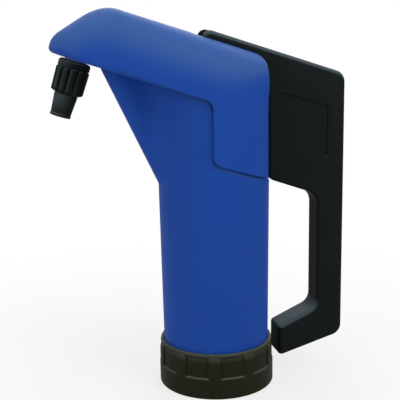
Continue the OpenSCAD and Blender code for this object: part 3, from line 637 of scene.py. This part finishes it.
def hood_sides(s):
    """Sections of one side up to the slot's edge: square to the head in front of the skirt, fanned round the
    step to the skirt, and on to the flat back."""
    ct, st = tilt(s)
    slope = st / ct
    x0, r, back = skirt_front(s), s.skirt_round, s.hood_back
    corner_u = (r * (1 - st) - x0) / ct

    def edge_point(x):
        return x, s.head_z - x * slope

    def foot_point(x):
        return x, s.head_z - s.skirt_drop / ct - x * slope

    far_ahead = -200 * MM
    step = np.concatenate([corner_arc(edge_point(far_ahead), edge_point(x0), foot_point(x0), r),
                           corner_arc(edge_point(x0), foot_point(x0), foot_point(back), r)])
    foot_line = np.stack([step[-1], foot_point(back)])
    roof_start = np.array(from_head(s, corner_u, s.hood_height))
    knee = np.array([back, s.head_z + (s.hood_height - back * st) / ct])
    roof_line = np.concatenate([[roof_start], corner_arc(roof_start, knee, (back, 0), s.knee_r, 14)])

    slot_u = np.linspace(slot_front(s), corner_u, 10)
    fan, rest = np.linspace(0, 1, 56), np.linspace(0, 1, 48)[1:]
    fan_share = 0.3
    low = np.concatenate([np.stack(from_head(s, slot_u, 0 * slot_u), axis=1), along(step, fan)[1:],
                          along(foot_line, rest)])
    high = np.concatenate([np.stack(from_head(s, slot_u, roof_height(s, slot_u)), axis=1),
                           along(roof_line, fan * fan_share)[1:],
                           along(roof_line, fan_share + rest * (1 - fan_share))])
    return hood_sections(s, low, high)[:, :SIDE_ROWS]


def hood_back_wall(s, edge):
    """Flat wall from the rear edge of a side, above the barrel's spigot, in to the pivot's ears."""
    ct, st = tilt(s)
    ear_half, over_spigot, least = 23.6 * MM, 6 * MM, 2 * MM
    wall_low = s.head_z - (s.hood_back * st - over_spigot) / ct
    column = edge[(edge[:, 2] > wall_low) & (edge[:, 1] > ear_half + least)]
    across = np.linspace(0, 1, 6)[:, None]
    y = column[:, 1] + across * (ear_half - column[:, 1])
    return np.stack(np.broadcast_arrays(column[:, 0], y, column[:, 2]), axis=-1)


def hood_surface(s):
    """The hood's skin: its closed front, a side along the lever's slot and the back wall, each mirrored."""
    sides = hood_sides(s)
    skins = (hood_arches(s), sides, hood_back_wall(s, sides[-1]))
    return [(skin * [1, side, 1], grid_faces(*skin.shape[:2])) for side in (1, -1) for skin in skins]


# Shape of the lever

def lever_corners(s):
    """Clockwise corners [x, z, radius] of the lever's outline, along the top, down the grip, round its foot
    and window, and back under the pivot to the rod pin. Those of the recess in its face, and the rod pin's
    place, come with them."""
    tan = math.tan
    ct, st = tilt(s)
    px, pz = PIVOT[0], PIVOT[2]
    # The crank lets the rod pin swing evenly to both sides of the barrel's axis
    swing_half = math.radians(40)
    crank = 2 * px / (1 + math.cos(swing_half))
    pin_x, pin_z = px - crank * math.cos(swing_half), pz + crank * math.sin(swing_half)
    down_x, down_z = -math.sin(swing_half), -math.cos(swing_half)
    rise, hub, arm, under = 26 * MM, 12 * MM, 11 * MM, 4 * MM
    rise_x, rise_z = px + rise * st, pz + rise * ct
    hand_gap, foot_gap, web_gap = 43 * MM, 5 * MM, 0.6 * MM
    front, outer = LEVER_LOW.x, LEVER_HIGH.x
    inner, foot, web = s.barrel_low_r + hand_gap, s.collar_r + foot_gap, s.hood_r + web_gap
    window_low, window_high, foot_z = 58 * MM, 156 * MM, 16 * MM
    low_lean, foot_lean = math.radians(23.5), math.radians(15.5)
    high_lean = s.head_tilt + math.radians(3)

    def top_edge(x):
        return rise_z - (x - rise_x) * tan(s.head_tilt)

    def web_edge(x):
        return window_high + (inner - x) * tan(high_lean)

    def foot_edge(x):
        return foot_z + (x - foot) * tan(foot_lean)

    def foot_top(x):
        return window_low - (inner - x) * tan(low_lean)

    # Radii are in millimetres here
    corners = [
        (front, top_edge(front), 6), (outer, top_edge(outer), 10), (outer, foot_edge(outer), 10),
        (foot, foot_edge(foot), 3), (foot, foot_top(foot), 3.5), (inner, foot_top(inner), 11),
        (inner, web_edge(inner), 14), (web, web_edge(web), 3.5), (web, pz - hub - under, 6),
        (px + hub * down_x, pz + hub * down_z, 6), (pin_x + arm * down_x, pin_z + arm * down_z, 6),
        (front, pin_z - under, 3.5)]
    recess_h, recess_drop, recess_r = 43 * MM, 31 * MM, 2
    front_margin, back_margin = 7 * MM, 15 * MM
    x0, x1 = web + front_margin, outer - back_margin
    z0 = top_edge(x0) - recess_drop
    z1 = z0 - (x1 - x0) * tan(s.head_tilt)
    recess = [(x0, z0, recess_r), (x1, z1, recess_r), (x1, z1 - recess_h, recess_r),
              (x0, z0 - recess_h, recess_r)]
    scale = np.array([1, 1, MM])
    return np.array(corners) * scale, np.array(recess) * scale, np.array([pin_x, pin_z])


def circle_crossing(a, b, centre, r):
    """Share of the way from a to b at which it crosses a circle: the root of |a + t (b - a) - centre| = r
    between 0 and 1."""
    d, f = b - a, a - centre
    roots = np.real(np.roots([d @ d, 2 * f @ d, f @ f - r ** 2]))
    return float(roots[(roots >= 0) & (roots <= 1)][0])


def lever_surface(s):
    """The lever as a plate with rounded edges: outlines drawn in by r (1 - cos t) at the height r sin t of a
    quarter circle, a shallow recess in each face, and a fork at the rod pin, where a round is cut out between
    two cheeks. The web's front edge follows the barrel."""
    corners, recess_corners, pin = lever_corners(s)
    web_corner = 7
    inset = np.full(len(corners), s.lever_round)
    # The web's edge behind the hood stays nearly sharp
    inset[web_corner] = 0.5 * MM
    quarter = np.linspace(math.pi / 2, 0, 8)
    rings = [rounded(drawn_in(corners, inset * (1 - math.cos(t)))) for t in quarter]
    fork_r, fork_half = 21 * MM, 7.1 * MM
    half = s.lever_t / 2
    inside = np.linalg.norm(rings[-1] - pin, axis=1) < fork_r
    # The outline starts just behind the fork, so that the fork's points are one run at its end
    starts = np.nonzero(~inside & np.roll(inside, 1))[0][0]
    rings = [np.roll(ring, -starts, axis=0) for ring in rings]
    full, inside = rings[-1], np.roll(inside, -starts)
    first = np.nonzero(inside)[0][0]
    t0 = circle_crossing(full[first - 1], full[first], pin, fork_r)
    t1 = circle_crossing(full[-1], full[0], pin, fork_r)

    def with_crossings(ring):
        p0 = ring[first - 1] + t0 * (ring[first] - ring[first - 1])
        p1 = ring[-1] + t1 * (ring[0] - ring[-1])
        return np.concatenate([ring[:first], [p0], ring[first:], [p1]])

    rings = [with_crossings(ring) for ring in rings]
    full, small = rings[-1], rings[0]
    a0 = math.atan2(*(full[-1] - pin)[::-1])
    a1 = math.atan2(*(full[first] - pin)[::-1])
    turn = (a1 - a0 + math.pi) % (2 * math.pi) - math.pi
    sweep = a0 + turn * np.linspace(0, 1, 18)[1:-1]
    arc = pin + fork_r * np.stack([np.cos(sweep), np.sin(sweep)], axis=1)

    web, web_top = corners[web_corner, 0], corners[web_corner + 1, 1]
    hug_r, hug_reach = s.barrel_high_r + 0.8 * MM, 9 * MM

    def layer(ring, y):
        x, z = ring.T
        near = ease(1 - np.abs(x - web) / hug_reach) * ease((web_top + hug_reach - z) / hug_reach)
        x = x - near * (web - math.sqrt(hug_r ** 2 - y ** 2))
        return np.stack([x, np.full(len(ring), y), z], axis=1)

    def across(line):
        points = np.concatenate([layer(line, -fork_half), layer(line, fork_half)])
        return points, grid_faces(2, len(line))

    arc_points, depth = 7, 1.0 * MM
    recess = rounded(recess_corners, arc_points)
    n, m = len(full), len(recess)
    heights = half - s.lever_round * (1 - np.sin(quarter))
    rows = len(rings) + 1
    hole = rows * n
    # The face round the recess is two halves, which part at the middles of two opposite corners
    cuts = (arc_points // 2, m // 2 + arc_points // 2)
    near = [int(np.argmin(np.linalg.norm(small - recess[k], axis=1))) for k in cuts]
    faces = grid_faces(rows, n, wrap_cols=True)
    faces += [[hole + a for a in quad] for quad in grid_faces(2, m, wrap_cols=True)]
    faces.append([hole + m + k for k in range(m)])
    for here, there in ((0, 1), (1, 0)):
        outer = [(near[here] + k) % n for k in range((near[there] - near[here]) % n + 1)]
        inner = [hole + (cuts[there] - k) % m for k in range((cuts[there] - cuts[here]) % m + 1)]
        faces.append(outer + inner)
    cheek = np.concatenate([full[first:], arc])
    parts = []
    for side in (-1, 1):
        skin = [layer(ring, side * y) for ring, y in zip(rings, heights)]
        skin += [layer(full, side * fork_half), layer(recess, side * half)]
        skin.append(layer(recess, side * (half - depth)))
        parts.append((np.concatenate(skin), faces))
        parts.append((layer(cheek, side * fork_half), [list(range(len(cheek)))]))
    bay = np.concatenate([[full[-1]], arc, [full[first]]])
    return parts + [across(line) for line in (full[:first + 1], np.stack([full[-1], full[0]]), bay)]


# Shapes of the collar and the nozzle

def collar_surface(s):
    """The collar as a closed grid of turn and profile: its radius is a wall with a coned upper rim, less the
    grip panels, which are smooth boxes of turn and height with faint flutes."""
    turn = np.linspace(0, 2 * math.pi, 800, endpoint=False)
    edge, rim_h, rim_in = 0.8 * MM, 6 * MM, 1.6 * MM
    rim_low = s.collar_h - rim_h
    panel_low, panel_top = 17 * MM, s.collar_h - 2.5 * MM
    # Rows lie close at the foot, at the panels' lower ledges and up the rim
    spans = [(0, edge, 5), (2 * MM, panel_low - 1 * MM, 8), (panel_low - 0.4 * MM, panel_low + 1.6 * MM, 9),
             (panel_low + 2.5 * MM, rim_low - 2 * MM, 8), (rim_low - 1 * MM, s.collar_h, 22)]
    z = np.concatenate([np.linspace(*span) for span in spans])[:, None]
    wall = s.collar_r - smooth_max((z - rim_low) * rim_in / rim_h, 0 * z, 0.5 * MM)
    rounds = quarter_fall(edge, edge - z) + quarter_fall(edge, edge - s.collar_h + z)
    pitch = 2 * math.pi / s.panel_count
    phase = math.radians(-106.5)
    part = ((turn - phase) / pitch) % 1
    share, soft, depth = 0.68, 0.8 * MM, 1.4 * MM
    flute, flute_count = 0.12 * MM, 9
    inside = (share / 2 - np.abs(part - 0.5)) * pitch * s.collar_r
    flutes = flute * np.cos(2 * math.pi * flute_count * (part - 0.5))
    box = ease(inside / soft) * ease((z - panel_low) / (1.5 * soft)) * ease((panel_top - z) / soft)
    r = wall - rounds - box * (depth + flutes)
    gap, skin = 0.4 * MM, 2.2 * MM
    lip_low = BARREL_LOW.z + gap
    inner, mouth = s.collar_r - skin, s.barrel_low_r + gap
    ring = 0 * turn
    lip_r = np.array([mouth + gap, mouth, mouth, inner])[:, None]
    lip_z = np.array([s.collar_h, s.collar_h - gap, lip_low, lip_low])[:, None]
    rows_r = np.concatenate([[inner + ring], r, lip_r + ring])
    rows_z = np.concatenate([[ring], z + ring, lip_z + ring])
    return closed_grid(ring_surface(rows_r, rows_z, turn))


def at_nozzle(s, surface):
    """Moves a surface round Z to the nozzle: its axis square to the head, its height counted from the hood's
    lower edge."""
    behind_tip = 22.3 * MM
    ct, st = tilt(s)
    x0, z0 = from_head(s, s.hood_reach - behind_tip, 0)
    x, y, v = surface[..., 0], surface[..., 1], surface[..., 2]
    return np.stack([x0 + x * ct + v * st, y, z0 - x * st + v * ct], axis=-1)


def nut_ends(s):
    """Heights of the union nut's upper and lower end, counted from the hood's lower edge."""
    gap = 1.2 * MM
    return -gap, -gap - s.nut_h


def nut_surface(s):
    """The union nut as a closed grid: a plain band with a round shoulder, and broad ribs with narrow grooves
    on a slow cone under it. A rib's height is 1 - (1 - w)^3 of the groove, for a wave w from 0 to 1 round
    the nut."""
    turn = np.linspace(0, 2 * math.pi, 360, endpoint=False)
    top, low = nut_ends(s)
    band, shoulder, edge = top - 5.5 * MM, 2.4 * MM, 1.0 * MM
    spans = [(top, top - shoulder, 10), (top - 2.8 * MM, band + 0.8 * MM, 5),
             (band + 0.6 * MM, band - 1.6 * MM, 12), (band - 2.6 * MM, low + 1.6 * MM, 12),
             (low + 1.2 * MM, low, 8)]
    v = np.concatenate([np.linspace(*span) for span in spans])[:, None]
    band_r, groove, draft = s.nut_r - 0.7 * MM, 2.0 * MM, 0.6 * MM
    cone = s.nut_r - draft + (v - low) / s.nut_h * draft - groove
    wave = 0.5 + 0.5 * np.cos(s.rib_count * turn)
    rib_top, rib_ramp, band_ramp, foot_ramp = band - 0.2 * MM, 1.2 * MM, 0.9 * MM, 1.5 * MM
    ribs = groove * (1 - (1 - wave) ** 3) * ease((rib_top - v) / rib_ramp) * ease((v - low) / foot_ramp)
    r = band_r + (cone - band_r) * ease((band - v) / band_ramp) + ribs
    r = r - quarter_fall(shoulder, shoulder - top + v) - quarter_fall(edge, edge - v + low)
    lip, bore = 3 * MM, 8.9 * MM
    ring = 0 * turn
    rows_r = np.concatenate([[bore + ring], r, [s.tail_r + ring, s.tail_r + ring, bore + ring]])
    rows_v = np.concatenate([[top + ring], v + ring, [low + ring, low + lip + ring, low + lip + ring]])
    return closed_grid(at_nozzle(s, ring_surface(rows_r, rows_v, turn)))


def tail_surface(s):
    """The hose tail as a closed profile turned round the nozzle's axis: flange and neck inside the nut, the
    tail under it, tapered to a bead at its mouth, and the bore."""
    turn = np.linspace(0, 2 * math.pi, 96, endpoint=False)
    nut_low = nut_ends(s)[1]
    low = nut_low - s.tail_l
    bore, neck, root = 5.5 * MM, s.tail_r - 0.4 * MM, s.tail_r + 1.0 * MM
    flange, flange_top, flange_low = 8.5 * MM, -11.5 * MM, -14 * MM
    gap, bead, bead_out, edge = 0.4 * MM, 2.4 * MM, 0.3 * MM, 0.8 * MM
    body = [(bore, flange_top), (flange, flange_top), (flange, flange_low), (neck, flange_low),
            (neck, nut_low - gap), (root - 0.3 * MM, nut_low - gap), (root, nut_low - 0.9 * MM),
            (s.tail_r - 0.25 * MM, low + bead + 0.2 * MM)]
    arc = np.linspace(0, math.pi, 10)
    mouth = np.stack([s.tail_r - bead_out + bead_out * np.sin(arc),
                      low + bead / 2 + bead / 2 * np.cos(arc)], axis=1)
    end = [(s.tail_r - 1.0 * MM, low), (bore + edge, low), (bore, low + edge)]
    profile = np.concatenate([body, mouth, end])
    return closed_grid(at_nozzle(s, ring_surface(profile[:, :1], profile[:, 1:], turn)))


# Operators

class PUMP_OT_stage(bpy.types.Operator):
    """Camera, floor, world and lamps"""
    bl_idname = "pump.stage"
    bl_label = "Stage"

    def execute(self, context):
        scene = context.scene
        scene.view_settings.view_transform = "Standard"
        self.add_camera(scene)
        self.add_world(scene)
        self.add_floor(scene)
        # Name, place in metres, size in metres and power in watts
        lamps = [("key", (0.55, -0.75, 0.95), 0.7, 9.0), ("fill", (-0.95, -0.55, 0.55), 0.9, 5.4),
                 ("top", (-0.1, 0.1, 1.25), 0.9, 6.5), ("back", (0.4, 0.95, 0.6), 0.8, 8.0)]
        for lamp in lamps:
            self.add_lamp(scene, *lamp)
        return {"FINISHED"}

    def add_camera(self, scene):
        """The camera of the photograph, fitted to the barrel's outline and the collar's rims."""
        place = np.array([-186.40, -699.82, 320.95]) * MM
        aim = np.array([-11.91, 0, 156.36]) * MM
        roll = math.radians(-1.19)
        camera = bpy.data.objects.new("camera", bpy.data.cameras.new("camera"))
        camera.data.sensor_width = 36
        camera.data.lens = 81
        camera.matrix_world = facing(place, aim, roll)
        scene.collection.objects.link(camera)
        scene.camera = camera

    def add_lamp(self, scene, name, place, size, power):
        """A square soft lamp that faces the middle of the pump."""
        middle = (0, 0, 0.16)
        lamp = bpy.data.objects.new(name, bpy.data.lights.new(name, "AREA"))
        lamp.data.size = size
        lamp.data.energy = power
        lamp.matrix_world = facing(place, middle)
        scene.collection.objects.link(lamp)

    def add_seen(self, tree):
        """The share of a ray that is seen directly, mirrored or through something."""
        path = add(tree, "ShaderNodeLightPath").outputs
        direct = add(tree, "ShaderNodeMath", {0: path["Is Camera Ray"], 1: path["Is Glossy Ray"]},
                     operation="MAXIMUM")
        seen = add(tree, "ShaderNodeMath", {0: direct.outputs[0], 1: path["Is Transmission Ray"]},
                   operation="MAXIMUM")
        return seen.outputs[0]

    def add_world(self, scene):
        """Even pale light, plain white where it is seen directly or mirrored."""
        white, light_strength = (1, 1, 1, 1), 0.3
        world = bpy.data.worlds.new("studio")
        world.use_nodes = True
        tree = world.node_tree
        tree.nodes.clear()
        light = add(tree, "ShaderNodeBackground", {"Color": white, "Strength": light_strength})
        plain = add(tree, "ShaderNodeBackground", {"Color": white, "Strength": 1.0})
        seen = self.add_seen(tree)
        mix = add(tree, "ShaderNodeMixShader", {0: seen, 1: light.outputs[0], 2: plain.outputs[0]})
        add(tree, "ShaderNodeOutputWorld", {"Surface": mix.outputs[0]})
        scene.world = world

    def add_floor(self, scene):
        """A white floor that turns to its own white away from the pump, so only the soft shadow shows."""
        reach, near, far, least = 12.0, 0.12, 0.45, 0.72
        mesh = bpy.data.meshes.new("floor")
        mesh.from_pydata([(-reach, -reach, 0), (reach, -reach, 0), (reach, reach, 0), (-reach, reach, 0)], [],
                         [(0, 1, 2, 3)])
        floor = bpy.data.objects.new("floor", mesh)
        scene.collection.objects.link(floor)
        finish = bpy.data.materials.new("white paper")
        finish.use_nodes = True
        tree = finish.node_tree
        tree.nodes.clear()
        paper = add(tree, "ShaderNodeBsdfDiffuse", {"Color": (0.6, 0.6, 0.6, 1)})
        white = add(tree, "ShaderNodeEmission", {"Color": (1, 1, 1, 1), "Strength": 1.0})
        place = add(tree, "ShaderNodeTexCoord").outputs["Object"]
        away = add(tree, "ShaderNodeVectorMath", {0: place}, operation="LENGTH")
        own = add(tree, "ShaderNodeMapRange", {"Value": away.outputs["Value"], "From Min": near,
                                               "From Max": far, "To Min": least, "To Max": 1.0})
        share = add(tree, "ShaderNodeMath", {0: self.add_seen(tree), 1: own.outputs["Result"]},
                    operation="MULTIPLY")
        share = share.outputs[0]
        mix = add(tree, "ShaderNodeMixShader", {0: share, 1: paper.outputs[0], 2: white.outputs[0]})
        add(tree, "ShaderNodeOutputMaterial", {"Surface": mix.outputs[0]})
        mesh.materials.append(finish)


class PUMP_OT_inner_parts(bpy.types.Operator):
    """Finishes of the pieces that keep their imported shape"""
    bl_idname = "pump.inner_parts"
    bl_label = "Inner parts"

    def execute(self, context):
        made = finishes()
        for part in frame["record"]["subparts"]:
            mesh = frame["nodes"][part["node"]].data
            mesh.materials.clear()
            mesh.materials.append(made[SLOT_FINISH[part["material_slot"]]])
        return {"FINISHED"}


class PUMP_OT_barrel(bpy.types.Operator):
    """Tapered barrel with the fin that blends into it"""
    bl_idname = "pump.barrel"
    bl_label = "Barrel"

    def execute(self, context):
        s = context.scene.pump_sizes
        add_piece("barrel", [barrel_surface(s)], finishes()[BLUE_FINISH], "pump", ["pump_body"])
        return {"FINISHED"}


class PUMP_OT_hood(bpy.types.Operator):
    """Tilted hood with its nose, lever slot and rear skirt"""
    bl_idname = "pump.hood"
    bl_label = "Hood"

    def execute(self, context):
        s = context.scene.pump_sizes
        add_piece("hood", hood_surface(s), finishes()[BLUE_FINISH], "pump", ["head_cover"],
                  wall=s.hood_wall, edge=0.7 * MM)
        return {"FINISHED"}


class PUMP_OT_lever(bpy.types.Operator):
    """Rounded lever with its grip, recess and fork"""
    bl_idname = "pump.lever"
    bl_label = "Lever"

    def execute(self, context):
        s = context.scene.pump_sizes
        add_piece("hand_lever", lever_surface(s), finishes()[BLACK_FINISH], "lever", ["lever"],
                  edge=0.6 * MM, flats=True)
        return {"FINISHED"}


class PUMP_OT_collar(bpy.types.Operator):
    """Collar with its coned rim and grip panels"""
    bl_idname = "pump.collar"
    bl_label = "Collar"

    def execute(self, context):
        s = context.scene.pump_sizes
        add_piece("collar", [collar_surface(s)], finishes()[OLIVE_FINISH], "collar", ["collar_nut"])
        return {"FINISHED"}


class PUMP_OT_nozzle(bpy.types.Operator):
    """Ribbed union nut and hose tail"""
    bl_idname = "pump.nozzle"
    bl_label = "Nozzle"

    def execute(self, context):
        s = context.scene.pump_sizes
        black = finishes()[BLACK_FINISH]
        add_piece("union_nut", [nut_surface(s)], black, "nozzle_nut", ["nozzle_nut"])
        add_piece("hose_tail", [tail_surface(s)], black, "pump", ["nozzle_tail"])
        return {"FINISHED"}


class PUMP_PT_panel(bpy.types.Panel):
    """Buttons for the pump's pieces"""
    bl_label = "Drum pump"
    bl_space_type = "VIEW_3D"
    bl_region_type = "UI"
    bl_category = "Drum pump"

    def draw(self, context):
        for step in STEPS:
            self.layout.operator(step.bl_idname)


STEPS = (PUMP_OT_stage, PUMP_OT_inner_parts, PUMP_OT_barrel, PUMP_OT_hood, PUMP_OT_lever, PUMP_OT_collar,
         PUMP_OT_nozzle)
CLASSES = (PumpSizes, PumpColours, *STEPS, PUMP_PT_panel)


def register():
    for cls in CLASSES:
        bpy.utils.register_class(cls)
    bpy.types.Scene.pump_sizes = bpy.props.PointerProperty(type=PumpSizes)
    bpy.types.Scene.pump_colours = bpy.props.PointerProperty(type=PumpColours)


def unregister():
    del bpy.types.Scene.pump_colours
    del bpy.types.Scene.pump_sizes
    for cls in reversed(CLASSES):
        bpy.utils.unregister_class(cls)


def main():
    register()
    bpy.ops.pump.stage()
    bpy.ops.pump.inner_parts()
    bpy.ops.pump.barrel()
    bpy.ops.pump.hood()
    bpy.ops.pump.lever()
    bpy.ops.pump.collar()
    bpy.ops.pump.nozzle()


if __name__ == "__main__":
    main()
